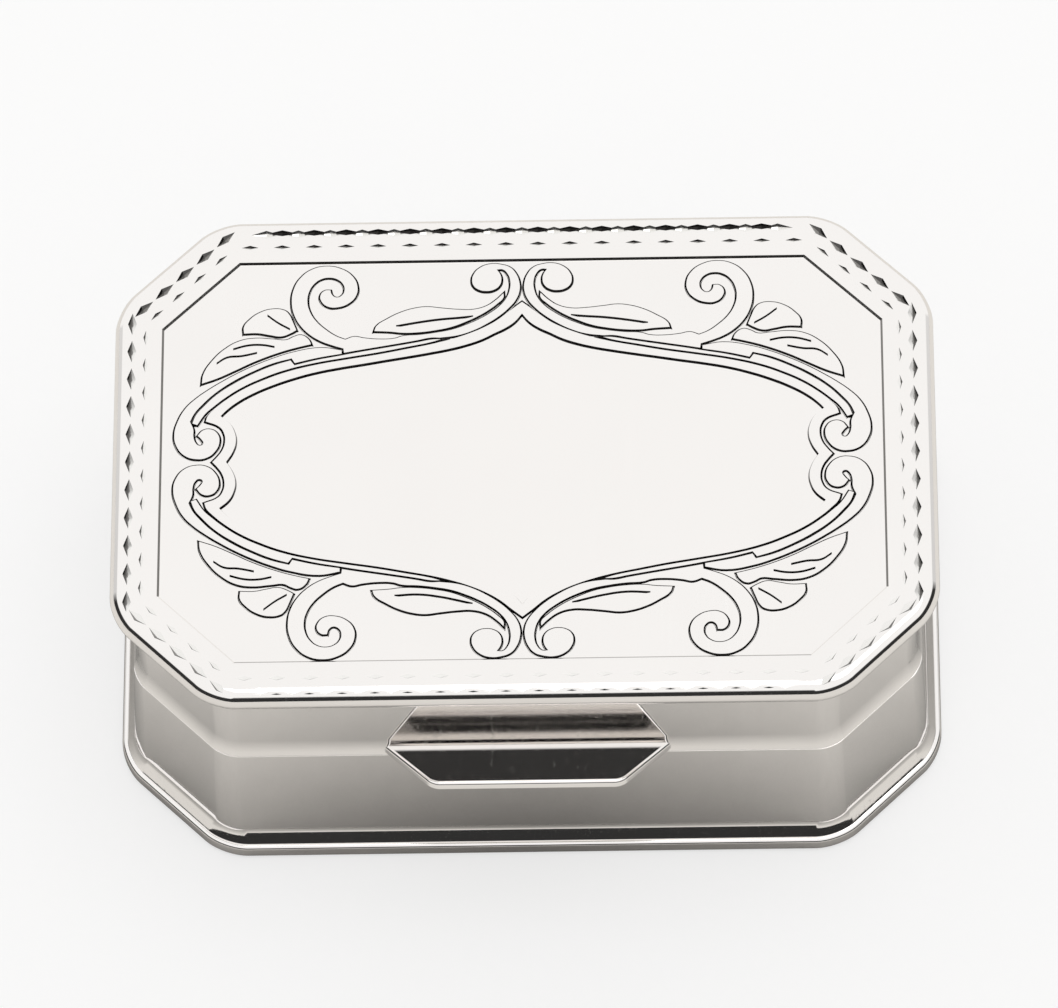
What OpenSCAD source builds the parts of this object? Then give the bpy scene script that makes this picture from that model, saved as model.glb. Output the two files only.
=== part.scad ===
// Hinged pill box in sheet silver, with cut corners, overhanging rims and a thumbpiece.
// Origin at the centre of the underside, X along the hinge, front towards -Y, +Z up.

/* [Outline] */
// Width over the lid plate's rim
lid_w = 40; // [34:0.5:50]
// Depth over the lid plate's rim
lid_d = 27.2; // [24:0.1:34]
// Length that each cut corner takes off a side of the lid plate
corner_leg = 4.9; // [4:0.1:6.5]
// Radius that softens the corners of the rims
rim_round = 3; // [2:0.1:4]
// Radius that softens the corners of the walls
wall_round = 2; // [1:0.1:3]

/* [Heights] */
// Height of the closed box
box_h = 15.3; // [14.5:0.1:20]
// Height of the line where the lid meets the base
seam_h = 8.3; // [7:0.1:9]
// Thickness of the lid plate at its rounded rim
lid_rim_t = 1.4; // [1:0.1:1.6]
// Thickness of the base plate at its rounded rim
foot_rim_t = 1.1; // [0.9:0.1:1.4]
// Thickness of both plates inside the walls
sheet_t = 0.8; // [0.5:0.05:0.9]

/* [Walls] */
// How far the lid plate overhangs the lid's wall
lid_overhang = 1.1; // [0.9:0.05:1.3]
// How far the lid's wall flares out at its lower edge
flare_out = 0.3; // [0.1:0.05:0.4]
// Height of that flare
flare_h = 1; // [0.5:0.1:1.5]
// How much larger the foot rim is than the lid's rim, on each side
foot_extra = 0.25; // [0:0.05:0.5]
// Thickness of the lid's wall above the flare
lid_wall_t = 0.5; // [0.4:0.05:0.6]
// Height of the cove between the foot rim and the base's wall
cove_h = 0.6; // [0.4:0.1:1]

/* [Bezel] */
// Gap between the bezel and the lid's wall
bezel_gap = 0.1; // [0.08:0.01:0.15]
// Thickness of the bezel
bezel_t = 0.45; // [0.3:0.05:0.6]
// How far the bezel stands up into the lid
bezel_up = 1.6; // [1:0.1:1.8]
// How far the bezel reaches down inside the base
bezel_down = 3.2; // [2:0.1:4]

/* [Thumbpiece] */
// Width where the thumbpiece leaves the wall
thumb_root_w = 14.2; // [10:0.1:16]
// Width at its outer edge
thumb_tip_w = 9.2; // [6:0.1:10]
// Length from the wall above the flare to the outer edge, along the plate
thumb_len = 3; // [2:0.1:4]
// Thickness
thumb_t = 0.5; // [0.4:0.05:0.8]
// Upward tilt in degrees
thumb_tilt = 20; // [0:1:30]

/* [Hinge] */
// Length of the five knuckles together
hinge_len = 24; // [18:0.5:26]
// Outer radius of a knuckle
knuckle_r = 0.9; // [0.8:0.05:1]
// Radius of the hinge pin
pin_r = 0.45; // [0.35:0.01:0.5]
// Running clearance between the pin and the lid's knuckles
pin_clear = 0.03; // [0.02:0.01:0.05]
// Gap between neighbouring knuckles
knuckle_gap = 0.1; // [0.05:0.01:0.15]
// Gap between a knuckle and the other half's bearer
trough_gap = 0.12; // [0.1:0.01:0.2]
// Opening angle at which the two bearers meet and stop the lid
stop_deg = 106; // [95:1:115]

/* [Hidden] */

silver = [0.84, 0.83, 0.81];
inner_silver = [0.78, 0.77, 0.75];
joint_silver = [0.7, 0.7, 0.69];

// An inset of 1 shortens the leg of a 45 degree corner by 2 - sqrt(2)
leg_per_inset = 2 - sqrt(2);
corner_steps = 6;
bullnose_steps = 6;
cove_steps = 3;
round_fn = 48;
// How far a cut runs past the face it opens
past = 1;

// Insets of each wall face from the lid plate's rim
seam_inset = lid_overhang - flare_out;
lid_inner_inset = lid_overhang + lid_wall_t;
bezel_outer_inset = lid_inner_inset + bezel_gap;
bezel_inner_inset = bezel_outer_inset + bezel_t;

flare_top = seam_h + flare_h;
lid_wall_top = box_h - lid_rim_t;
base_wall_bottom = foot_rim_t + cove_h;

// The hinge axis stands just behind the walls, level with the seam
axis_y = lid_d / 2 - seam_inset + knuckle_r / 2;
knuckle_len = (hinge_len - 4 * knuckle_gap) / 5;
knuckle_pitch = knuckle_len + knuckle_gap;
// The bearers are let into the walls to this depth behind the lid wall's outer face
notch_in = 0.25;
notch_y = lid_d / 2 - lid_overhang - notch_in;
bearer_h = 2.3;
bearer_r = 1.55;
bearer_cap_y = 0.3;
bearer_cap_z = 1.9;
stop_half = stop_deg / 2;

thumb_corner_r = 0.8;

// The six points or so of one softened corner, turned about its own centre
function corner_arc(centre, from_deg, r) =
    [for (i = [0:corner_steps]) let (a = from_deg + 45 * i / corner_steps)
        centre + r * [cos(a), sin(a)]];

// Outline of the cut-cornered rectangle, inset from the lid plate's rim, corners softened to r
function outline(inset, r) =
    let (hw = lid_w / 2 - inset, hd = lid_d / 2 - inset,
         leg = corner_leg - leg_per_inset * inset,
         back = r * tan(22.5),
         u = hw - r, v = hd - leg - back,
         p = hw - leg - back, q = hd - r)
    concat(corner_arc([u, v], 0, r), corner_arc([p, q], 45, r),
           corner_arc([-p, q], 90, r), corner_arc([-u, v], 135, r),
           corner_arc([-u, -v], 180, r), corner_arc([-p, -q], 225, r),
           corner_arc([p, -q], 270, r), corner_arc([u, -v], 315, r));

// Straight prism on an outline
module prism(inset, r, z0, z1) {
    translate([0, 0, z0]) linear_extrude(z1 - z0) polygon(outline(inset, r));
}

// Smooth solid through a stack of outlines, each given as [inset, corner radius, height]
module loft(levels) {
    rings = [for (l = levels) outline(l[0], l[1])];
    n = len(rings[0]);
    top = len(levels) - 1;
    points = [for (k = [0:top]) for (p = rings[k]) [p[0], p[1], levels[k][2]]];
    sides = [for (k = [0:top - 1]) for (i = [0:n - 1])
        let (j = (i + 1) % n) [k * n + i, (k + 1) * n + i, (k + 1) * n + j, k * n + j]];
    polyhedron(points, concat([[for (i = [0:n - 1]) i]], sides,
                              [[for (i = [n - 1:-1:0]) top * n + i]]));
}

// Solid plate whose edge is a half round of the plate's own thickness
module bullnose_plate(inset, r, z0, thick) {
    half = thick / 2;
    loft([for (i = [0:bullnose_steps])
        let (a = 180 * i / bullnose_steps - 90, pull = half * (1 - cos(a)))
        [inset + pull, r - pull, z0 + half + half * sin(a)]]);
}

// Outside of the lid's wall, flared at the bottom
module lid_wall_outside() {
    upper_round = wall_round - flare_out;
    loft([[seam_inset, wall_round, seam_h], [lid_overhang, upper_round, flare_top],
          [lid_overhang, upper_round, lid_wall_top]]);
}

module lid_plate() {
    color(silver) difference() {
        bullnose_plate(0, rim_round, lid_wall_top, lid_rim_t);
        prism(lid_inner_inset, wall_round, lid_wall_top - past, box_h - sheet_t);
    }
}

module lid_band() {
    color(silver) difference() {
        lid_wall_outside();
        prism(lid_inner_inset, wall_round, seam_h - past, lid_wall_top + past);
        bearer_notch(seam_h - past, seam_h + bearer_h);
    }
}

module thumbpiece() {
    color(silver) difference() {
        translate([0, -lid_d / 2 + lid_overhang, seam_h + thumb_t / 2])
            rotate([-thumb_tilt, 0, 0]) translate([0, 0, -thumb_t / 2])
                linear_extrude(thumb_t) thumb_shape();
        lid_wall_outside();
        translate([-thumb_root_w, -lid_d, 0]) cube([2 * thumb_root_w, 2 * lid_d, seam_h]);
    }
}

// Plan of the thumbpiece: a trapezoid with two softened corners, its root inside the wall
module thumb_shape() {
    root = thumb_root_w / 2;
    tip = thumb_tip_w / 2;
    lead = (root - tip) / thumb_len;
    turn = 90 - atan(lead);
    cx = tip - thumb_corner_r * tan(turn / 2);
    cy = -thumb_len + thumb_corner_r;
    right = [for (i = [0:corner_steps]) let (a = -90 + turn * i / corner_steps)
        [cx, cy] + thumb_corner_r * [cos(a), sin(a)]];
    inside = lid_wall_t / 2;
    polygon(concat([[-root - lead * inside, inside]],
                   [for (i = [corner_steps:-1:0]) [-right[i][0], right[i][1]]],
                   right, [[root + lead * inside, inside]]));
}

module base_plate() {
    color(silver) difference() {
        union() {
            bullnose_plate(-foot_extra, rim_round, 0, foot_rim_t);
            cove();
        }
        prism(bezel_outer_inset, wall_round, sheet_t, base_wall_bottom + past);
    }
}

// Hollow curve from the foot rim up to the wall, standing on a short plug inside the rim
module cove() {
    plug = [seam_inset - cove_h, wall_round + cove_h, sheet_t];
    loft(concat([plug], [for (i = [0:cove_steps])
        let (a = 90 * i / cove_steps, out = cove_h * (1 - sin(a)))
        [seam_inset - out, wall_round + out, foot_rim_t + cove_h * (1 - cos(a))]]));
}

module base_band() {
    color(silver) difference() {
        prism(seam_inset, wall_round, base_wall_bottom, seam_h);
        prism(bezel_outer_inset, wall_round, base_wall_bottom - past, seam_h + past);
        bearer_notch(seam_h - bearer_h, seam_h + past);
    }
}

module bezel() {
    color(inner_silver) difference() {
        prism(bezel_outer_inset, wall_round, seam_h - bezel_down, seam_h + bezel_up);
        prism(bezel_inner_inset, wall_round - bezel_t, seam_h - bezel_down - past,
              seam_h + bezel_up + past);
    }
}

// Slot along the back that a bearer fills
module bearer_notch(z0, z1) {
    translate([-hinge_len / 2, notch_y, z0]) cube([hinge_len, lid_d, z1 - z0]);
}

// Lies along the hinge axis: a cylinder, or any run of one, between two X positions
module on_axis(x0, x1, r) {
    translate([x0, axis_y, seam_h]) rotate([0, 90, 0]) cylinder(h = x1 - x0, r = r, $fn = round_fn);
}

// Left end of knuckle number n, counted from 0 at the left
function knuckle_x(n) = -hinge_len / 2 + n * knuckle_pitch;

module knuckle(n, bore_r) {
    color(joint_silver) difference() {
        on_axis(knuckle_x(n), knuckle_x(n) + knuckle_len, knuckle_r);
        on_axis(knuckle_x(n) - past, knuckle_x(n) + knuckle_len + past, bore_r);
    }
}

// Bearer above the axis: it holds its own knuckles and clears the others.
// Its sloping lower face points at the axis, and meets the other bearer's at the stop.
module bearer(own, others) {
    wall_side = notch_y - axis_y;
    wall_face = wall_side + notch_in;
    color(joint_silver) difference() {
        translate([-hinge_len / 2, axis_y, seam_h]) rotate([90, 0, 90]) linear_extrude(hinge_len)
            polygon([[wall_side, 0], [0, 0], bearer_r * [cos(stop_half), sin(stop_half)],
                     [bearer_cap_y, bearer_cap_z], [wall_face, bearer_h], [wall_side, bearer_h]]);
        for (n = own)
            on_axis(knuckle_x(n) - knuckle_gap / 2, knuckle_x(n) + knuckle_len + knuckle_gap / 2,
                    knuckle_r);
        for (n = others)
            on_axis(knuckle_x(n) - knuckle_gap, knuckle_x(n) + knuckle_len + knuckle_gap,
                    knuckle_r + trough_gap);
    }
}

module lid_joint_bearer() { bearer([1, 3], [0, 2, 4]); }
module lid_knuckle_left() { knuckle(1, pin_r + pin_clear); }
module lid_knuckle_right() { knuckle(3, pin_r + pin_clear); }

module base_joint_bearer() {
    translate([0, 0, 2 * seam_h]) mirror([0, 0, 1]) bearer([0, 2, 4], [1, 3]);
}

module base_knuckle_left() { knuckle(0, pin_r); }
module base_knuckle_middle() { knuckle(2, pin_r); }
module base_knuckle_right() { knuckle(4, pin_r); }

module hinge_pin() {
    color(joint_silver) on_axis(-hinge_len / 2, hinge_len / 2, pin_r);
}

lid_plate();
lid_band();
thumbpiece();
lid_joint_bearer();
lid_knuckle_left();
lid_knuckle_right();
base_plate();
base_band();
bezel();
base_joint_bearer();
base_knuckle_left();
base_knuckle_middle();
base_knuckle_right();
hinge_pin();
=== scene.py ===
# %% [markdown]
# # A hinged silver pill box
# The box is raised from sheet silver: two shallow trays with cut corners, each under a flat
# sheet with a rounded rim, joined by a five-knuckle hinge at the back. Scrolls stand up in low
# relief on the lid inside a cut border. The solid frame gives every size and place, and this
# lesson builds the polished surfaces round it.

import math

import bpy
from mathutils import Matrix, Vector


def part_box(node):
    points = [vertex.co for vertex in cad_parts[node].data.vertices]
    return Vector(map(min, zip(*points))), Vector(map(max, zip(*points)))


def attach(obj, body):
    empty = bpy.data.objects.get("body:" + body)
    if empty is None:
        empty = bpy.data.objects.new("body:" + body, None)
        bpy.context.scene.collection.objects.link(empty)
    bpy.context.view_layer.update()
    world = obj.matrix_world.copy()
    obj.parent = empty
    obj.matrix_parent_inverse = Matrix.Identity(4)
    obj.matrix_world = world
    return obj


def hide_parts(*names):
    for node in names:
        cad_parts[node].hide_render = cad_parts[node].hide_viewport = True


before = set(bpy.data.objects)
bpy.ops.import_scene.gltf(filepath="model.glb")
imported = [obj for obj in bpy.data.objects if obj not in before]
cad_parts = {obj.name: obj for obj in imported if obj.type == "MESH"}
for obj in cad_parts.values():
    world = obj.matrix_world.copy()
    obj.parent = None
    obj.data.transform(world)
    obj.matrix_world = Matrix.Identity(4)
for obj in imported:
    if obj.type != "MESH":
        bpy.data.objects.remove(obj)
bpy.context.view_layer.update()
print("solid parts:", ", ".join(sorted(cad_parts)))

# %% [markdown]
# ## Writing shader sums as sums
# A shader's arithmetic is easier to read as an expression. The small class below holds one
# socket and turns +, - and * into Math nodes. Every other node comes from one method, which
# sets a node's options first and then fills its sockets with values or links.

# %% A bench for shader nodes
class Wire:
    def __init__(self, bench, socket):
        self.bench, self.socket = bench, socket

    def sum(self, operation, first, second):
        return self.bench.node("Math", {"operation": operation}, {0: first, 1: second})

    def __add__(self, other):
        return self.sum("ADD", self, other)

    def __radd__(self, other):
        return self.sum("ADD", other, self)

    def __sub__(self, other):
        return self.sum("SUBTRACT", self, other)

    def __rsub__(self, other):
        return self.sum("SUBTRACT", other, self)

    def __mul__(self, other):
        return self.sum("MULTIPLY", self, other)

    def __rmul__(self, other):
        return self.sum("MULTIPLY", other, self)


class Bench:
    """The node tree of one material or world."""

    def __init__(self, owner):
        owner.use_nodes = True
        self.tree = owner.node_tree
        self.tree.nodes.clear()

    def node(self, kind, settings=None, sockets=None, out=0):
        made = self.tree.nodes.new("ShaderNode" + kind)
        for key, value in (settings or {}).items():
            if key == "stops":
                self.set_ramp(made.color_ramp, value)
            else:
                setattr(made, key, value)
        for key, value in (sockets or {}).items():
            if isinstance(value, Wire):
                self.tree.links.new(value.socket, made.inputs[key])
            else:
                made.inputs[key].default_value = value
        return Wire(self, made.outputs[out]) if made.outputs else made

    def set_ramp(self, ramp, stops):
        while len(ramp.elements) < len(stops):
            ramp.elements.new(0.5)
        for element, (at, value) in zip(ramp.elements, stops):
            element.position = at
            element.color = (value, value, value, 1)


# %% [markdown]
# ## Polished silver
# Silver is a bright metal, so nearly all that is seen of it is what it mirrors. What makes it
# read as silver is the small departures from a perfect mirror: a slightly uneven haze from
# handling, hairlines from a polishing cloth, and a surface that is never quite flat. The same
# recipe, with more haze and deeper lines, serves the inside and the hinge. The walls of the cuts
# get their own mixes: a bright one fresh from the graver, and two dark ones that are painted
# shade, with some tarnish settled in them, to draw the cuts and the sides of the scrolls as dark
# lines.

# %% Mix the silvers
BREATH_SCALE, SWELL_SCALE, GRAIN_SCALE = 130.0, 260.0, 5200.0
HAIR_SCALE, SECOND_HAIR_SCALE = 5200.0, 4300.0
HAIR_TURN, SECOND_HAIR_TURN = 0.5, 2.1
HAIR_START, HAIR_FULL = 0.66, 0.72
GRAIN_HEIGHT = 0.02
BUMP_DEPTH, BUMP_STRENGTH = 0.00001, 0.25


def hairlines(bench, place, turn, fineness):
    """Sparse thin lines that run along one direction."""
    turned = bench.node("Mapping", None, {"Vector": place, "Rotation": (0, 0.3, turn),
                                          "Scale": (fineness, fineness * 0.02, fineness)})
    noise = bench.node("TexNoise", None, {"Vector": turned, "Scale": 1.0, "Detail": 1.0})
    return bench.node("ValToRGB", {"stops": [(HAIR_START, 0), (HAIR_FULL, 1)]}, {"Fac": noise})


def silver(name, light, dark, haze, haze_range, scratch, wave):
    """A metal mixed of two tones, with uneven haze, hairlines and a gentle wave."""
    material = bpy.data.materials.new(name)
    bench = Bench(material)
    place = bench.node("TexCoord", None, None, out=3)
    breath = bench.node("TexNoise", None, {"Vector": place, "Scale": BREATH_SCALE,
                                             "Detail": 3.0})
    grain = bench.node("TexNoise", None, {"Vector": place, "Scale": GRAIN_SCALE,
                                            "Detail": 2.0})
    swell = bench.node("TexNoise", None, {"Vector": place, "Scale": SWELL_SCALE,
                                            "Detail": 1.0})
    lines = (hairlines(bench, place, HAIR_TURN, HAIR_SCALE)
             + hairlines(bench, place, SECOND_HAIR_TURN, SECOND_HAIR_SCALE))
    colour = bench.node("Mix", {"data_type": "RGBA"}, {0: breath, 6: light, 7: dark}, out=2)
    roughness = haze + haze_range * breath * grain + scratch * lines
    height = wave * swell + GRAIN_HEIGHT * grain - scratch * lines
    normal = bench.node("Bump", None, {"Strength": BUMP_STRENGTH, "Distance": BUMP_DEPTH,
                                       "Height": height})
    shader = bench.node("BsdfPrincipled", None, {
        "Base Color": colour, "Metallic": 1.0, "Roughness": roughness, "Normal": normal})
    bench.node("OutputMaterial", None, {"Surface": shader})
    return material


polished_silver = silver("polished_silver", (0.97, 0.95, 0.935, 1), (0.94, 0.92, 0.905, 1),
                         0.045, 0.07, 0.05, 0.5)
inner_silver = silver("inner_silver", (0.90, 0.885, 0.86, 1), (0.83, 0.81, 0.78, 1),
                      0.16, 0.2, 0.1, 0.8)
joint_silver = silver("joint_silver", (0.88, 0.87, 0.85, 1), (0.70, 0.69, 0.67, 1),
                      0.12, 0.25, 0.15, 0.6)
graver_silver = silver("graver_silver", (0.93, 0.92, 0.90, 1), (0.88, 0.87, 0.85, 1),
                       0.12, 0.15, 0.0, 0.3)
# The two dark mixes below are painted shade for the walls of the cuts and the sides of the
# scrolls, with some tarnish in them.
shaded_cut_silver = silver("shaded_cut_silver", (0.34, 0.33, 0.32, 1), (0.22, 0.215, 0.205, 1),
                    0.12, 0.15, 0.0, 0.3)
shaded_deep_silver = silver("shaded_deep_silver", (0.14, 0.136, 0.132, 1), (0.08, 0.078, 0.076, 1),
                     0.12, 0.15, 0.0, 0.3)

# %% [markdown]
# ## Working size
# Bevels and cuts on a thing this small come close to the smallest lengths that Blender's tools
# can tell apart. So each piece is modelled at a thousand times life size, where one unit is one
# millimetre, and brought down to metres when it is finished.

# %% Sizes read from the frame, in millimetres
MM = 0.001


def box_mm(node):
    low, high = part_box(node)
    return low / MM, high / MM


sheet_low, sheet_high = box_mm("lid_plate")
band_low, band_high = box_mm("lid_band")
foot_low, foot_high = box_mm("base_plate")
bezel_low, bezel_high = box_mm("bezel")
bearer_low, bearer_high = box_mm("lid_joint_bearer")

HALF_W, HALF_D, TOP = sheet_high
RIM_T = TOP - sheet_low.z
SEAM = band_low.z
FLARE_INSET = HALF_W - band_high.x
FOOT_INSET = HALF_W - foot_high.x
BEZEL_INSET = HALF_W - bezel_high.x
SHEET_T = 0.8
CORNER_LEG = 4.9
LEG_PER_INSET = 2 - math.sqrt(2)
print(f"lid {2 * HALF_W:.2f} x {2 * HALF_D:.2f} mm, height {TOP:.2f} mm, seam at {SEAM:.2f} mm")

# %% [markdown]
# ## The maker's small tools
# Nearly every piece starts as the same flat blank: a rectangle with its corners cut off and the
# eight new corners softened. A vertex bevel cuts the corners, and a second one rounds them. The
# blank is then stepped in and raised as a sheet is worked over a stake, by Inset and Extrude.

# %% Helpers for selecting and starting a piece
CORNER_STEPS = 10
BIG_FACE = 20
FACES_UP = 0.9
LEVEL = 1e-4


def deselect_all():
    if bpy.context.mode != "OBJECT":
        bpy.ops.object.mode_set(mode="OBJECT")
    bpy.ops.object.select_all(action="DESELECT")


def name_piece(name):
    piece = bpy.context.object
    piece.name = piece.data.name = name
    return piece


def pick(piece, kind, test):
    """Selects the faces or edges whose middle and direction pass a test, in edit mode."""
    bpy.ops.object.mode_set(mode="EDIT")
    bpy.ops.mesh.select_mode(type=kind)
    bpy.ops.mesh.select_all(action="DESELECT")
    bpy.ops.object.mode_set(mode="OBJECT")
    mesh = piece.data
    if kind == "FACE":
        for f in mesh.polygons:
            f.select = test(f.center, f.normal, len(f.vertices))
    else:
        for e in mesh.edges:
            a, b = (mesh.vertices[i].co for i in e.vertices)
            e.select = test((a + b) / 2, b - a, 2)
    bpy.ops.object.mode_set(mode="EDIT")


def blank(name, half_w, half_d, leg, radius, z):
    """A flat face with cut corners, left in edit mode and selected."""
    deselect_all()
    bpy.ops.mesh.primitive_plane_add(size=2)
    piece = name_piece(name)
    piece.scale = (half_w, half_d, 1)
    piece.location.z = z
    bpy.ops.object.transform_apply(location=True, rotation=True, scale=True)
    bpy.ops.object.mode_set(mode="EDIT")
    bpy.ops.mesh.select_all(action="SELECT")
    bpy.ops.mesh.bevel(affect="VERTICES", offset=leg, segments=1, clamp_overlap=False)
    if radius:
        bpy.ops.mesh.select_all(action="SELECT")
        reach = radius * math.tan(math.radians(22.5))
        bpy.ops.mesh.bevel(affect="VERTICES", offset=reach, segments=CORNER_STEPS, profile=0.5)
    bpy.ops.mesh.select_all(action="SELECT")
    return piece


def plan_blank(name, inset, radius, z):
    """A blank in the box's own plan, drawn in from the lid's rim by an inset."""
    leg = CORNER_LEG - LEG_PER_INSET * inset
    return blank(name, HALF_W - inset, HALF_D - inset, leg, radius, z)


def step_in(across, up):
    bpy.ops.mesh.inset(thickness=across, depth=up, use_even_offset=True)


def rise(height):
    bpy.ops.mesh.extrude_region_move(TRANSFORM_OT_translate={"value": (0, 0, height)})


def close_ring(piece):
    """Takes the caps out of a hollow wall and joins its two lower edges."""
    pick(piece, "FACE", lambda c, n, sides: sides > BIG_FACE)
    bpy.ops.mesh.delete(type="FACE")
    bpy.ops.mesh.select_mode(type="EDGE")
    bpy.ops.mesh.select_all(action="DESELECT")
    bpy.ops.mesh.select_non_manifold()
    bpy.ops.mesh.bridge_edge_loops()
    bpy.ops.mesh.select_all(action="SELECT")
    bpy.ops.mesh.normals_make_consistent(inside=False)


def apply_modifier(piece, kind, **settings):
    deselect_all()
    bpy.context.view_layer.objects.active = piece
    piece.select_set(True)
    modifier = piece.modifiers.new(kind.title(), kind)
    for key, value in settings.items():
        setattr(modifier, key, value)
    bpy.ops.object.modifier_apply(modifier=modifier.name)


def soften(piece, width, segments, angle=40):
    apply_modifier(piece, "BEVEL", width=width, segments=segments, limit_method="ANGLE",
                   angle_limit=math.radians(angle), use_clamp_overlap=True)


def finish_piece(piece, smooth_angle=35):
    """Shades the piece, keeps its flats flat, and brings it down to metres."""
    deselect_all()
    bpy.context.view_layer.objects.active = piece
    piece.select_set(True)
    bpy.ops.object.transform_apply(location=True, rotation=True, scale=True)
    bpy.ops.object.shade_smooth_by_angle(angle=math.radians(smooth_angle))
    apply_modifier(piece, "WEIGHTED_NORMAL", keep_sharp=True, weight=100)
    piece.scale = (MM, MM, MM)
    bpy.ops.object.transform_apply(location=True, rotation=True, scale=True)
    size = piece.dimensions / MM
    print(f"{piece.name}: {size.x:.2f} x {size.y:.2f} x {size.z:.2f} mm,"
          f" {len(piece.data.polygons)} faces")


def cut_with(piece, cutter):
    """Cuts one piece with another. The cut faces keep the cutter's finishes."""
    apply_modifier(piece, "BOOLEAN", operation="DIFFERENCE", object=cutter, solver="EXACT",
                   use_self=True, material_mode="TRANSFER")
    bpy.data.objects.remove(cutter)


def dress(piece, *finishes):
    piece.data.materials.clear()
    for finish in finishes:
        piece.data.materials.append(finish)


# %% [markdown]
# ## The lid sheet
# The lid is a flat sheet whose rim is rolled to a half round. It is a blank raised to the rim's
# thickness, and both of its edges are bevelled by half of that, so the two quarter rounds meet.
# Underneath, the sheet is thinner than its rim, so the face is stepped in and pushed up.

# %% Roll the rim of the lid sheet
RIM_ROUND = 3.0
RIM_STEPS = 9
RIM_MERGE = 0.002
LID_INNER_INSET = 1.6


def rolled_sheet(name, inset, z0, thick, radius):
    piece = plan_blank(name, inset, RIM_ROUND, z0)
    rise(thick)
    bpy.ops.mesh.select_all(action="SELECT")
    bpy.ops.mesh.normals_make_consistent(inside=False)
    pick(piece, "EDGE", lambda c, d, n: abs(d.z) < LEVEL)
    bpy.ops.mesh.bevel(affect="EDGES", offset=radius, segments=RIM_STEPS, profile=0.5,
                       clamp_overlap=False)
    bpy.ops.mesh.select_all(action="SELECT")
    bpy.ops.mesh.remove_doubles(threshold=RIM_MERGE)
    return piece


lid_sheet = rolled_sheet("lid_sheet", 0, sheet_low.z, RIM_T, RIM_T / 2)
pick(lid_sheet, "FACE", lambda c, n, sides: sides > BIG_FACE and n.z < -FACES_UP)
step_in(LID_INNER_INSET - RIM_T / 2, 0)
rise(RIM_T - SHEET_T)
deselect_all()
dress(lid_sheet, polished_silver)
print("lid sheet rolled,", len(lid_sheet.data.polygons), "faces")

# %% [markdown]
# ## The sunk field
# Inside the border the sheet is pressed down a little, with a steep crisp step all round. The
# step is what draws the octagonal line: its walls are painted dark as shade, except across the
# cut corners, where they keep a bright silver. A tapered block takes it out of the sheet, so that
# its corners stay sharp. The step is a little easier along the front, where it faces away.

# %% Press the field down
PATTERN_X, PATTERN_Y = -0.085, -0.25
FIELD_HALF_W, FIELD_HALF_D, FIELD_LEG = 17.6, 11.3, 3.75
FIELD_SINK = 0.16
FIELD_SLOPE = 0.10
FRONT_EASE = 0.04
CLEAR = 0.5
SLANTING = 0.3

press = blank("press", FIELD_HALF_W, FIELD_HALF_D, FIELD_LEG, 0, TOP + CLEAR)
rise(-CLEAR)
bpy.ops.mesh.select_all(action="SELECT")
bpy.ops.mesh.normals_make_consistent(inside=False)
pick(press, "FACE", lambda c, n, sides: n.z < -FACES_UP)
step_in(FIELD_SLOPE, FIELD_SINK)
bpy.ops.transform.translate(value=(0, FRONT_EASE, 0))
deselect_all()
press.location = (PATTERN_X, PATTERN_Y, 0)
# The step's walls are painted dark as shade; across the cut corners they take the bright silver.
dress(press, shaded_cut_silver, graver_silver)
for face in press.data.polygons:
    across_corner = min(abs(face.normal.x), abs(face.normal.y)) > SLANTING
    face.material_index = 1 if across_corner else 0

# %% [markdown]
# ## The cut border
# Two rows of small lozenges run round the lid. Each is one stroke of a graver that leans
# outwards, so its outer wall is steep and its inner wall is shallow. The outer wall is painted
# dark as shade, and the inner wall is left bright. One stroke is modelled as an upside-down
# pyramid, and copies of it are set out along the eight sides. In the outer row of the two long
# sides a link painted dark as shade is cut between each pair, so the row reads as a chain. The
# links are deeper at the back than at the front.

# %% Shape one stroke of the graver
PITCH = 1.57


def stroke(name, half_len, outer, inner, apex, depth, inner_finish=graver_silver):
    """A pyramid that cuts a lozenge: its tips lie along X, and +Y is outwards.

    Outer and inner are the reach of each edge from the tips' line, apex is where the deepest
    point lies between them, and depth is how deep it is.
    """
    deselect_all()
    bpy.ops.mesh.primitive_cone_add(vertices=4, radius1=0, radius2=1, depth=2)
    piece = name_piece(name)
    grow = (depth + CLEAR) / depth
    for v in piece.data.vertices:
        if v.co.z < 0:
            v.co = (0, apex, -depth)
        elif abs(v.co.x) > 0.5:
            v.co = (math.copysign(half_len, v.co.x) * grow, apex - apex * grow, CLEAR)
        else:
            edge = outer if v.co.y > 0 else -inner
            v.co = (0, apex + (edge - apex) * grow, CLEAR)
    # The outer walls get the dark tone, which is painted shade. The inner walls get inner_finish,
    # bright for the strokes and dark for the links.
    dress(piece, shaded_deep_silver, inner_finish)
    for face in piece.data.polygons:
        face.material_index = 0 if face.center.y > apex else 1
    return piece


long_stroke = stroke("long_stroke", 0.76, 0.26, 0.20, 0.14, 0.145)
back_link = stroke("back_link", 0.80, 0.20, 0.14, 0.00, 0.24, shaded_deep_silver)
front_link = stroke("front_link", 0.80, 0.10, 0.09, 0.00, 0.14, shaded_deep_silver)
side_stroke = stroke("side_stroke", 0.62, 0.23, 0.21, 0.06, 0.16)
small_stroke = stroke("small_stroke", 0.42, 0.13, 0.12, 0.06, 0.08)

# %% Set the strokes out round the lid
strokes = []


def place_stroke(model, x, y, turn):
    copy = model.copy()
    copy.data = model.data.copy()
    bpy.context.collection.objects.link(copy)
    copy.location = (x + PATTERN_X, y + PATTERN_Y, TOP)
    copy.rotation_euler.z = turn
    strokes.append(copy)


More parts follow.
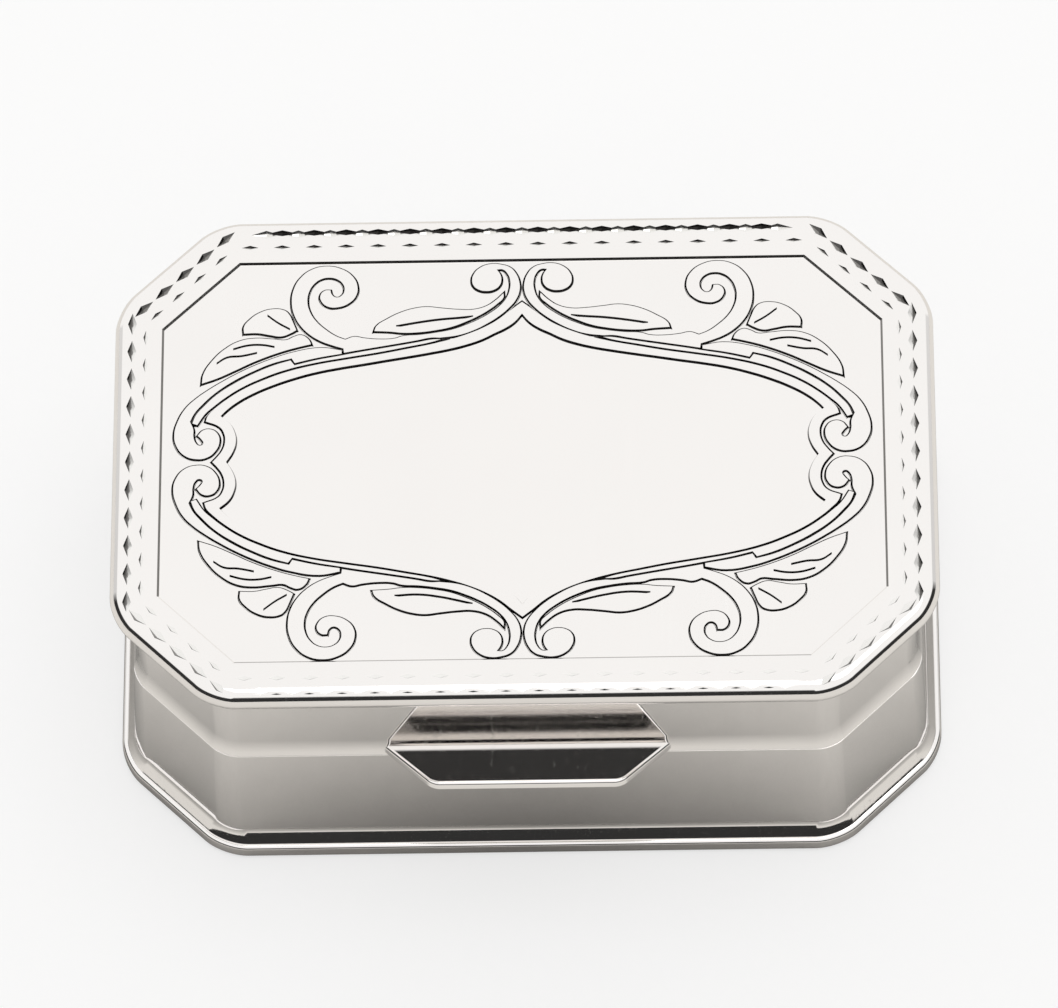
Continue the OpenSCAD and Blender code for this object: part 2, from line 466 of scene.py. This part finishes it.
def four_corners(model, first, last, count):
    """Strokes along the four cut corners, evenly spaced from one point to the other."""
    for i in range(count):
        x, y = (a + (b - a) * i / (count - 1) for a, b in zip(first, last))
        for sx in (1, -1):
            for sy in (1, -1):
                place_stroke(model, sx * x, sy * y, math.atan2(sy, sx) - math.pi / 2)


def two_sides(model, half, count, along_x, sides=(1, -1)):
    """Strokes at the border's pitch along two facing sides, or along one of them."""
    for k in range(count):
        at = (k - (count - 1) / 2) * PITCH
        for side in sides:
            if along_x:
                place_stroke(model, at, side * half, 0 if side > 0 else math.pi)
            else:
                place_stroke(model, side * half, at, -side * math.pi / 2)


BACK, FRONT = (1,), (-1,)
two_sides(long_stroke, 12.87, 17, True)
two_sides(back_link, 12.95, 16, True, BACK)
two_sides(front_link, 13.0, 16, True, FRONT)
two_sides(side_stroke, 19.05, 11, False)
four_corners(side_stroke, (14.55, 12.65), (18.5, 8.7), 5)
two_sides(small_stroke, 12.15, 18, True)
two_sides(small_stroke, 18.38, 10, False)
four_corners(small_stroke, (14.75, 11.45), (17.85, 8.35), 4)

deselect_all()
for piece in strokes + [press]:
    piece.select_set(True)
bpy.context.view_layer.objects.active = press
bpy.ops.object.join()
bpy.ops.object.transform_apply(location=True, rotation=True, scale=True)
for model in (long_stroke, back_link, front_link, side_stroke, small_stroke):
    bpy.data.objects.remove(model)
cut_with(lid_sheet, press)
print(len(strokes), "strokes cut,", len(lid_sheet.data.polygons), "faces")

# %% [markdown]
# ## The scrolls
# The ornament is a frame of ribbons with scrolls and leaves, in low relief with flat tops and
# steep sides. Only a quarter of it is drawn, and mirroring gives the rest. Each shape is a
# closed Bezier outline with smooth points, or a corner where a third value marks one. A filled
# 2D curve with a one-step bevel makes the sloping side, and its offset keeps the foot of the
# slope on the outline. A spline inside another becomes a vein cut through the leaf. The grooves
# round the ribbons are set a hair towards the front, so the lower edges are drawn more boldly.

# %% Draw a quarter of the ornament
CORNER = 1

FRAME_INNER = [
    (0, 8.2, CORNER), (-.35, 7.75), (-.8, 7.4), (-1.35, 7.1), (-1.95, 6.77), (-2.65, 6.5),
    (-3.5, 6.26), (-4.5, 6.05), (-5.4, 5.88), (-6.6, 5.67), (-7.7, 5.47), (-8.8, 5.28),
    (-10, 5.03), (-11, 4.74), (-12.1, 4.33), (-13.05, 3.88), (-13.85, 3.38), (-14.4, 2.9),
    (-14.66, 2.6, CORNER), (-14.2, 2.16), (-13.98, 1.7), (-13.9, 1.15), (-14.05, .55),
    (-14.36, 0, CORNER)]
FRAME_OUTER = [
    (0, 8.9, CORNER), (-.5, 8.48), (-1.1, 7.95), (-1.8, 7.5), (-2.6, 7.12), (-3.5, 6.8),
    (-4.4, 6.55), (-5.6, 6.29), (-7, 6.0), (-8.5, 5.74), (-10.2, 5.42), (-11.6, 5.03),
    (-12.6, 4.62), (-13.6, 4.1), (-14.4, 3.53), (-14.95, 3.03), (-15.3, 2.62),
    (-15.4, 2.3, CORNER), (-14.72, 1.98), (-14.5, 1.62), (-14.44, 1.2), (-14.55, .7),
    (-14.8, .3), (-15.05, 0, CORNER)]
MIDDLE_RIBBON = [
    (-3.9, 6.82, CORNER), (-4.4, 6.8), (-5.1, 6.66), (-6, 6.49), (-7, 6.31), (-8, 6.13),
    (-8.9, 5.95), (-10, 5.73), (-11.1, 5.44, CORNER), (-11.3, 5.72, CORNER), (-12.1, 5.46),
    (-13.05, 5.02), (-13.95, 4.5), (-14.9, 3.8), (-15.5, 3.16), (-15.86, 2.7),
    (-16.05, 2.2, CORNER), (-15.8, 2.1, CORNER), (-15.4, 2.75), (-15.03, 3.12),
    (-14.45, 3.63), (-13.65, 4.2), (-12.65, 4.72), (-11.65, 5.13), (-10.22, 5.52),
    (-8.52, 5.84), (-7.02, 6.1), (-5.62, 6.39), (-4.42, 6.65)]
OUTER_RIBBON = [
    (-8.8, 6.25, CORNER), (-9.8, 6.42), (-11.2, 6.18), (-12.1, 5.87), (-12.95, 5.5),
    (-13.8, 5.06), (-14.6, 4.57), (-15.35, 4.05), (-15.9, 3.6), (-16.38, 3.08), (-16.75, 2.35),
    (-16.92, 1.55), (-16.8, .92), (-16.4, .38), (-15.8, .17), (-15.3, .25), (-14.9, .6),
    (-14.7, 1.15), (-14.8, 1.6), (-15.1, 1.85), (-15.5, 1.82), (-15.78, 1.5, CORNER),
    (-15.6, 1.3), (-15.5, 1.05), (-15.68, .95), (-15.86, 1.1), (-15.97, 1.45), (-15.98, 1.85),
    (-16.15, 2.3, CORNER), (-15.95, 2.75), (-15.58, 3.24), (-14.97, 3.88), (-14.02, 4.6),
    (-13.1, 5.12), (-12.15, 5.56), (-11.25, 5.82, CORNER), (-11.1, 5.55, CORNER), (-10, 5.83),
    (-8.8, 6.05, CORNER)]
LARGE_LEAF = [
    (-15.62, 4.45, CORNER), (-15.55, 5), (-15.1, 5.8), (-14.5, 6.44), (-13.8, 6.87),
    (-13.05, 7.01), (-12.1, 6.94), (-11.5, 6.9), (-11.15, 7.08), (-10.8, 7.17), (-10.42, 6.9),
    (-10.3, 6.62, CORNER), (-10.86, 6.48), (-11.77, 6.2), (-13.05, 5.67), (-13.95, 5.2),
    (-14.86, 4.74)]
FAN_LEAF = [
    (-13.6, 7.28, CORNER), (-13.6, 7.7), (-13.3, 8.12), (-12.84, 8.48), (-12.2, 8.68),
    (-11.64, 8.6), (-11.42, 8.4), (-11.2, 7.9), (-11.03, 7.44, CORNER), (-11.3, 7.27),
    (-11.77, 7.09), (-12.3, 7.17), (-12.9, 7.29)]
SCROLL = [
    (-8.73, 6.35, CORNER), (-9.3, 6.55), (-9.86, 6.8), (-10.36, 7.15), (-10.8, 7.63),
    (-11.13, 8.25), (-11.28, 9), (-11.18, 9.83), (-10.84, 10.48), (-10.3, 10.93), (-9.6, 11.1),
    (-8.86, 10.94), (-8.3, 10.5), (-8.06, 9.94), (-8.12, 9.37), (-8.46, 8.95), (-9, 8.72),
    (-9.5, 8.76), (-9.82, 9.06), (-9.88, 9.42), (-9.66, 9.7), (-9.38, 9.72, CORNER),
    (-9.3, 9.45), (-9.08, 9.3), (-8.82, 9.42), (-8.7, 9.72), (-8.78, 10.06), (-9.04, 10.32),
    (-9.42, 10.43), (-9.86, 10.34), (-10.22, 10.03), (-10.44, 9.58), (-10.5, 9.05),
    (-10.38, 8.5), (-10.08, 7.96), (-9.6, 7.46), (-9.1, 7.08), (-8.64, 6.87, CORNER),
    (-8.2, 7.03), (-7.73, 6.94), (-6.96, 6.86), (-6.2, 6.9), (-5.85, 7.02), (-5, 7.08),
    (-4.15, 7.2), (-3.4, 7.36), (-2.73, 7.62), (-2.1, 7.93), (-1.56, 8.28), (-1.1, 8.67),
    (-.77, 9.12), (-.6, 9.63), (-.58, 10.1), (-.7, 10.5), (-.94, 10.76), (-1.22, 10.76, CORNER),
    (-1.06, 10.5), (-1, 10.18), (-1.1, 9.83), (-1.38, 9.6), (-1.75, 9.53), (-2.12, 9.62),
    (-2.36, 9.83), (-2.45, 10.15), (-2.37, 10.52), (-2.08, 10.88), (-1.56, 11.1), (-1, 11.06),
    (-.56, 10.88), (-.27, 10.5), (-.12, 10.03), (-.11, 9.55), (-.28, 9.03), (-.65, 8.53),
    (-1.12, 8.08), (-1.75, 7.63), (-2.38, 7.28), (-3.1, 7.02), (-4, 6.89, CORNER),
    (-4.45, 6.9), (-5.12, 6.76), (-6.02, 6.59), (-7.02, 6.41), (-8.02, 6.23),
    (-8.7, 6.1, CORNER)]
LONG_LEAF = [
    (-7.23, 7.32, CORNER), (-7.12, 7.62), (-6.58, 8.03), (-5.9, 8.4), (-5.2, 8.62),
    (-4.65, 8.68), (-4, 8.6), (-3.1, 8.5), (-2.4, 8.49), (-1.75, 8.68), (-1.25, 9.05),
    (-.9, 9.42, CORNER), (-.9, 9.15), (-1.2, 8.8), (-1.65, 8.42), (-2.17, 8.08), (-2.78, 7.77),
    (-3.44, 7.5), (-4.18, 7.33), (-5, 7.22), (-5.85, 7.2), (-6.4, 7.27)]
LEAF_VEIN = [
    (-6.15, 7.64, CORNER), (-4.96, 7.86), (-3.96, 8), (-3.1, 8.07), (-2.4, 8.14, CORNER),
    (-2.4, 8.08, CORNER), (-3.2, 7.86), (-3.9, 7.69), (-5, 7.53), (-6.15, 7.58, CORNER)]


VEIN_HALF = 0.05


def vein(points, half_width=VEIN_HALF):
    """A thin closed slit with blunt ends along a line of points."""
    left = [(x, y + half_width) for x, y in points]
    right = [(x, y - half_width) for x, y in reversed(points)]
    return [(*knot, CORNER) if i in (0, len(points) - 1) else knot
            for side in (left, right) for i, knot in enumerate(side)]


LARGE_VEINS = [
    vein([(-14.1, 6.4), (-13.4, 6.6), (-12.7, 6.62), (-12.1, 6.5)]),
    vein([(-14.9, 5.6), (-14.4, 5.93), (-13.7, 6), (-12.95, 6.17)])]
FAN_VEIN = vein([(-12.45, 8.3), (-11.9, 7.85), (-11.35, 7.5)])

# %% Turn the outlines into relief
RIBBON_SLOPE, RIBBON_HEIGHT = 0.055, 0.13
GROOVE_SLOPE, GROOVE_DEPTH = 0.045, 0.08
WELL_SLOPE, WELL_DEPTH = 0.05, 0.10
FOOT_GROW = 0.045
GROOVE_SHIFT = 0.03
POINT_MERGE = 0.001
CURVE_STEPS = 5
FIELD = TOP - FIELD_SINK
QUARTERS = [(1, 1), (-1, 1), (1, -1), (-1, -1)]


def add_outline(curve, points):
    spline = curve.splines.new("BEZIER")
    spline.bezier_points.add(len(points) - 1)
    spline.use_cyclic_u = True
    spline.resolution_u = CURVE_STEPS
    for knot, (x, y, *corner) in zip(spline.bezier_points, points):
        knot.co = (x, y, 0)
        knot.handle_left_type = knot.handle_right_type = "VECTOR" if corner else "AUTO"


def mirrored(points, sx, sy):
    return [(x * sx, y * sy, *corner) for x, y, *corner in points]


def all_round(quarter):
    """Joins four mirrored quarters of an outline, from (0, y) to (x, 0), into one ring."""
    right = mirrored(quarter, -1, 1)[::-1]
    half = quarter + mirrored(quarter, 1, -1)[-2::-1]
    return half + mirrored(half, -1, 1)[-2:0:-1]


def relief(name, outlines, slope, height, grow):
    """A flat-topped slab with sloping sides. Grow moves its top edge out from the outline."""
    deselect_all()
    curve = bpy.data.curves.new(name, "CURVE")
    curve.dimensions = "2D"
    curve.fill_mode = "BOTH"
    curve.bevel_depth = slope
    curve.bevel_resolution = 0
    curve.offset = grow
    for points in outlines:
        add_outline(curve, points)
    piece = bpy.data.objects.new(name, curve)
    bpy.context.collection.objects.link(piece)
    bpy.context.view_layer.objects.active = piece
    piece.select_set(True)
    bpy.ops.object.convert(target="MESH")
    piece = bpy.context.object
    bpy.ops.object.mode_set(mode="EDIT")
    bpy.ops.mesh.select_all(action="SELECT")
    bpy.ops.mesh.remove_doubles(threshold=POINT_MERGE)
    bpy.ops.mesh.normals_make_consistent(inside=False)
    deselect_all()
    piece.scale.z = height / slope
    return piece


def gather(name, shapes, z):
    """Joins shapes into one piece and sets it on the lid at a height."""
    deselect_all()
    for shape in shapes:
        shape.select_set(True)
    bpy.context.view_layer.objects.active = shapes[0]
    bpy.ops.object.transform_apply(location=True, rotation=True, scale=True)
    bpy.ops.object.join()
    piece = name_piece(name)
    piece.location = (PATTERN_X, PATTERN_Y, z)
    bpy.ops.object.transform_apply(location=True, rotation=True, scale=True)
    return piece


MOTIFS = (("middle_ribbon", MIDDLE_RIBBON, []), ("outer_ribbon", OUTER_RIBBON, []),
          ("large_leaf", LARGE_LEAF, LARGE_VEINS), ("fan_leaf", FAN_LEAF, [FAN_VEIN]),
          ("scroll", SCROLL, []), ("long_leaf", LONG_LEAF, [LEAF_VEIN]))
frame_edges = [all_round(FRAME_OUTER), all_round(FRAME_INNER)]

ribbon = (RIBBON_SLOPE, RIBBON_HEIGHT, FOOT_GROW - RIBBON_SLOPE)
groove = (GROOVE_SLOPE, GROOVE_DEPTH, FOOT_GROW)
raised = [relief("frame_ribbon", frame_edges, *ribbon)]
sunk = []
for sx, sy in QUARTERS:
    for name, outline, veins in MOTIFS:
        edges = [mirrored(points, sx, sy) for points in [outline, *veins]]
        raised.append(relief(name, edges, *ribbon))
        sunk.append(relief(name + "_groove", edges[:1], *groove))

lid_scrolls = gather("lid_scrolls", raised, FIELD - GROOVE_DEPTH)
cutters = [gather("frame_groove", [relief("frame_groove", frame_edges[:1], *groove)], FIELD),
           gather("well", [relief("well", frame_edges[1:], WELL_SLOPE, WELL_DEPTH,
                                  -WELL_SLOPE)], FIELD),
           gather("grooves", sunk, FIELD)]
cutters[-1].location.y -= GROOVE_SHIFT

# %% Cut the grooves that the ribbons stand in
FLAT = 0.97
CRISP_ANGLE = 20

# The groove walls get the dark tone, which is painted shade, and so do the sloping sides of the
# scrolls below. Only the flat tops and the field stay polished.
for cutter in cutters:
    dress(cutter, shaded_deep_silver)
    cut_with(lid_sheet, cutter)
for piece in (lid_sheet, lid_scrolls):
    if piece is lid_scrolls:
        dress(piece, polished_silver)
        piece.data.materials.append(shaded_deep_silver)
    for face in piece.data.polygons:
        if face.normal.z > FLAT:
            face.material_index = 0
        elif piece is lid_scrolls:
            face.material_index = 1
    finish_piece(piece, CRISP_ANGLE)

# %% [markdown]
# ## The lid's wall
# A band of sheet stands under the rim and flares a little at its lower edge. The blank starts
# at the flare, is stepped in on a straight slant, and goes straight up. Then it turns over the
# top and comes down inside, so the wall has a real thickness.

# %% Raise the lid's wall
WALL_ROUND = 2.0
LID_OVERHANG = 1.1
FLARE_H = 1.0

lid_wall = plan_blank("lid_wall", FLARE_INSET, WALL_ROUND, SEAM)
step_in(LID_OVERHANG - FLARE_INSET, FLARE_H)
rise(sheet_low.z - SEAM - FLARE_H)
step_in(LID_INNER_INSET - LID_OVERHANG, 0)
rise(SEAM - sheet_low.z)
close_ring(lid_wall)

# %% [markdown]
# ## The base
# The foot is a rolled sheet like the lid's, a little larger, with a hollow curve above its rim
# that turns up into the wall. The wall starts out of sight inside the foot and leans in a
# little on its way up to the seam. A plain band inside it, the bezel, stands up past the seam
# and guides the lid shut.

# %% Roll the foot and draw up its hollow curve
FOOT_TRIM = 0.03
FOOT_EDGE_T, FOOT_EDGE_R = 0.85, 0.22
SKIRT = [(0.05, 0), (0.11, 0.15), (0.12, 0.18), (0.11, 0.18), (0.06, 0.20), (0.03, 0.20)]
TUCK = 0.3

foot_sheet = rolled_sheet("foot_sheet", FOOT_INSET + FOOT_TRIM, foot_low.z, FOOT_EDGE_T,
                          FOOT_EDGE_R)
pick(foot_sheet, "FACE", lambda c, n, sides: sides > BIG_FACE and n.z > FACES_UP)
for across, up in SKIRT:
    step_in(across, up)
skirt_in = FOOT_INSET + FOOT_TRIM + FOOT_EDGE_R + sum(across for across, up in SKIRT)
skirt_top = FOOT_EDGE_T + sum(up for across, up in SKIRT)
step_in(TUCK, 0)
rise(SHEET_T - skirt_top)
print(f"the skirt meets the wall {skirt_top:.2f} mm up, {skirt_in:.2f} mm inside the lid's rim")
finish_piece(foot_sheet)

# %% Raise the base's wall and the bezel
BEZEL_T = 0.45
SUNK = 0.1
WALL_PROUD = 0.02


def straight_band(name, inset, radius, z0, z1, thick):
    piece = plan_blank(name, inset, radius, z0)
    rise(z1 - z0)
    step_in(thick, 0)
    rise(z0 - z1)
    close_ring(piece)
    deselect_all()
    return piece


wall_in = skirt_in - WALL_PROUD
base_wall = plan_blank("base_wall", wall_in, WALL_ROUND, SHEET_T - SUNK)
rise(skirt_top - SHEET_T + SUNK)
step_in(FLARE_INSET - wall_in, SEAM - skirt_top)
step_in(BEZEL_INSET - FLARE_INSET, 0)
rise(SHEET_T - SUNK - SEAM)
close_ring(base_wall)
deselect_all()
bezel_band = straight_band("bezel_band", BEZEL_INSET, WALL_ROUND, bezel_low.z, bezel_high.z,
                           BEZEL_T)

# %% [markdown]
# ## Room for the hinge
# The hinge's bearers are let into the back of both walls. One block the size of both bearers
# takes the slot out of each wall, and small bevels then take the bite off every edge.

# %% Cut the hinge's slot and soften the edges
EDGE = 0.05


def slot_block():
    deselect_all()
    height = bearer_high.z - SEAM
    bpy.ops.mesh.primitive_cube_add(size=1, location=(0, bearer_low.y + HALF_D, SEAM))
    block = name_piece("slot_block")
    block.scale = (bearer_high.x - bearer_low.x, 2 * HALF_D, 2 * height)
    dress(block, polished_silver)
    bpy.ops.object.transform_apply(location=True, rotation=True, scale=True)
    return block


for piece in (lid_wall, base_wall):
    dress(piece, polished_silver)
    cut_with(piece, slot_block())
for piece in (lid_wall, base_wall, bezel_band):
    soften(piece, EDGE, 2)
    finish_piece(piece)

# %% [markdown]
# ## The thumbpiece
# A small plate under the lid's front edge takes the thumb. It widens towards the box and tilts
# upwards. It is a square plane pushed into a trapezoid, thickened, rounded at its two outer
# corners and all along its edges, and then tilted into place.

# %% Shape the thumbpiece
THUMB_ROOT_W, THUMB_TIP_W, THUMB_LEN, THUMB_T = 14.2, 9.2, 3.0, 0.5
THUMB_TILT = math.radians(20)
THUMB_CORNER = 0.8
THUMB_IN = 0.3
THUMB_EDGE = 0.16

deselect_all()
bpy.ops.mesh.primitive_plane_add(size=2)
thumb_tab = name_piece("thumb_tab")
lead = (THUMB_ROOT_W - THUMB_TIP_W) / 2 / THUMB_LEN
for v in thumb_tab.data.vertices:
    outer = v.co.y < 0
    half = THUMB_TIP_W / 2 if outer else THUMB_ROOT_W / 2 + lead * THUMB_IN
    v.co = (math.copysign(half, v.co.x), -THUMB_LEN if outer else THUMB_IN, -THUMB_T / 2)
bpy.ops.object.mode_set(mode="EDIT")
bpy.ops.mesh.select_all(action="SELECT")
rise(THUMB_T)
bpy.ops.mesh.select_all(action="SELECT")
bpy.ops.mesh.normals_make_consistent(inside=False)
pick(thumb_tab, "EDGE", lambda c, d, n: abs(d.z) > LEVEL and c.y < 0)
bpy.ops.mesh.bevel(affect="EDGES", offset=THUMB_CORNER / 2, segments=8, profile=0.5)
deselect_all()
soften(thumb_tab, THUMB_EDGE, 4)
thumb_tab.rotation_euler.x = -THUMB_TILT
thumb_tab.location = (0, LID_OVERHANG - HALF_D, SEAM + THUMB_T / 2)
finish_piece(thumb_tab)

# %% Dress every piece and hand it to its body
FINISHES = {"polished_silver": polished_silver, "inner_silver": inner_silver,
            "joint_silver": joint_silver}
PIECES = [(lid_sheet, "lid", "polished_silver", ["lid_plate"]),
          (lid_scrolls, "lid", "polished_silver", []),
          (lid_wall, "lid", "polished_silver", ["lid_band"]),
          (thumb_tab, "lid", "polished_silver", ["thumbpiece"]),
          (foot_sheet, "base", "polished_silver", ["base_plate"]),
          (base_wall, "base", "polished_silver", ["base_band"]),
          (bezel_band, "base", "inner_silver", ["bezel"])]

for piece, body, slot, nodes in PIECES:
    if not piece.data.materials:
        dress(piece, FINISHES[slot])
    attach(piece, body)
    if nodes:
        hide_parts(*nodes)
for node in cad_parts.values():
    for slot in node.material_slots:
        slot.material = joint_silver

# %% [markdown]
# ## Floor, sky and lamp
# A mirror needs something to mirror. The box stands on a pale floor under a white sky, with a
# dark panel low down all round except at the back. The floor carries painted shade that darkens
# it near the box, as the silver sees it, and it shows paler and partly glowing to the camera. The
# panel, together with the dark tone painted on the cuts, draws the steep sides of the scrolls and
# the rims as dark lines. A broad lamp overhead lights the floor.

# %% Lay the floor
FLOOR_SIZE = 3
SHADE_REACH, SHADE_DEPTH = 0.012, 1.7
GLOW_SHARE = 0.6

deselect_all()
bpy.ops.mesh.primitive_plane_add(size=FLOOR_SIZE)
floor = name_piece("floor")
floor_paint = bpy.data.materials.new("floor_paint")
bench = Bench(floor_paint)
speck = bench.node("TexNoise", None, {"Vector": bench.node("TexCoord", None, None, out=3),
                                      "Scale": 900.0})
tone = bench.node("Mix", {"data_type": "RGBA"}, {0: speck, 6: (0.85, 0.835, 0.81, 1),
                                                 7: (0.89, 0.875, 0.85, 1)}, out=2)
# Painted shade: ambient occlusion darkens the floor's colour near the box, where the silver
# mirrors it.
near_shade = bench.node("AmbientOcclusion", None, {"Color": tone, "Distance": SHADE_REACH})
deep = bench.node("Gamma", None, {"Color": near_shade, "Gamma": SHADE_DEPTH})
grey = bench.node("BsdfPrincipled", None, {"Base Color": deep, "Roughness": 0.8})
paper = bench.node("BsdfPrincipled", None, {"Base Color": (0.95, 0.95, 0.95, 1),
                                            "Roughness": 0.8})
glow = bench.node("Emission", None, {"Color": (1, 1, 1, 1), "Strength": 1.0})
bright = bench.node("MixShader", None, {0: GLOW_SHARE, 1: paper, 2: glow})
seen = bench.node("LightPath", None, None, out=0)
bench.node("OutputMaterial", None, {"Surface": bench.node("MixShader", None, {
    0: seen, 1: grey, 2: bright})})
floor.data.materials.append(floor_paint)

# %% Hang the sky
SKY, PANEL = 0.96, 0.03
PANEL_TOP = math.sin(math.radians(27))
PANEL_BLUR = 0.03
PANEL_END, PANEL_GONE = 0.3, 0.6

world = bpy.data.worlds.new("studio")
bpy.context.scene.world = world
bench = Bench(world)
direction = bench.node("TexCoord", None, None, out=0)
axes = bench.tree.nodes.new("ShaderNodeSeparateXYZ")
bench.tree.links.new(direction.socket, axes.inputs[0])
up, across = Wire(bench, axes.outputs[2]), Wire(bench, axes.outputs[1])
low = bench.node("ValToRGB", {"stops": [(PANEL_TOP - PANEL_BLUR, 1), (PANEL_TOP + PANEL_BLUR, 0)]},
                 {"Fac": up})
front = bench.node("ValToRGB", {"stops": [(PANEL_END, 1), (PANEL_GONE, 0)]}, {"Fac": across})
panel = low * front
seen = bench.node("LightPath", None, None, out=0)
brightness = SKY - (SKY - PANEL) * panel * (1 - seen)
background = bench.node("Background", None, {"Color": (1, 0.995, 0.985, 1),
                                             "Strength": brightness})
bench.node("OutputWorld", None, {"Surface": background})


def lamp(name, place, aim, size, power):
    light = bpy.data.lights.new(name, "AREA")
    light.shape, light.size, light.energy = "DISK", size, power
    holder = bpy.data.objects.new(name, light)
    bpy.context.collection.objects.link(holder)
    holder.location = place
    holder.rotation_euler = (Vector(aim) - Vector(place)).to_track_quat("-Z", "Y").to_euler()


lamp("key", (0.1, 0.05, 0.6), (0, 0, 0), 0.4, 0.5)

# %% [markdown]
# ## The camera
# A long lens from above the front, so the walls stay nearly parallel. The view is turned a
# little to one side and rolled slightly.

# %% Set the camera
ELEVATION, AZIMUTH, ROLL = (math.radians(a) for a in (59.387, 2.328, 2.809))
AIM = Vector((0.06, 1.595, TOP / 2)) * MM
DISTANCE = 0.4859
LENS = 335.85

back = Vector((math.sin(AZIMUTH) * math.cos(ELEVATION), -math.cos(AZIMUTH) * math.cos(ELEVATION),
               math.sin(ELEVATION)))
level = Vector((math.cos(AZIMUTH), math.sin(AZIMUTH), 0))
upward = back.cross(level)
side = math.cos(ROLL) * level - math.sin(ROLL) * upward
head = math.sin(ROLL) * level + math.cos(ROLL) * upward
camera_data = bpy.data.cameras.new("camera")
camera_data.lens = LENS
camera_data.clip_start = 0.01
camera = bpy.data.objects.new("camera", camera_data)
bpy.context.collection.objects.link(camera)
camera.matrix_world = Matrix.Translation(AIM + back * DISTANCE) @ Matrix(
    (side, head, back)).transposed().to_4x4()
bpy.context.scene.camera = camera

view = bpy.context.scene.view_settings
view.view_transform = "Standard"
view.look = "None"
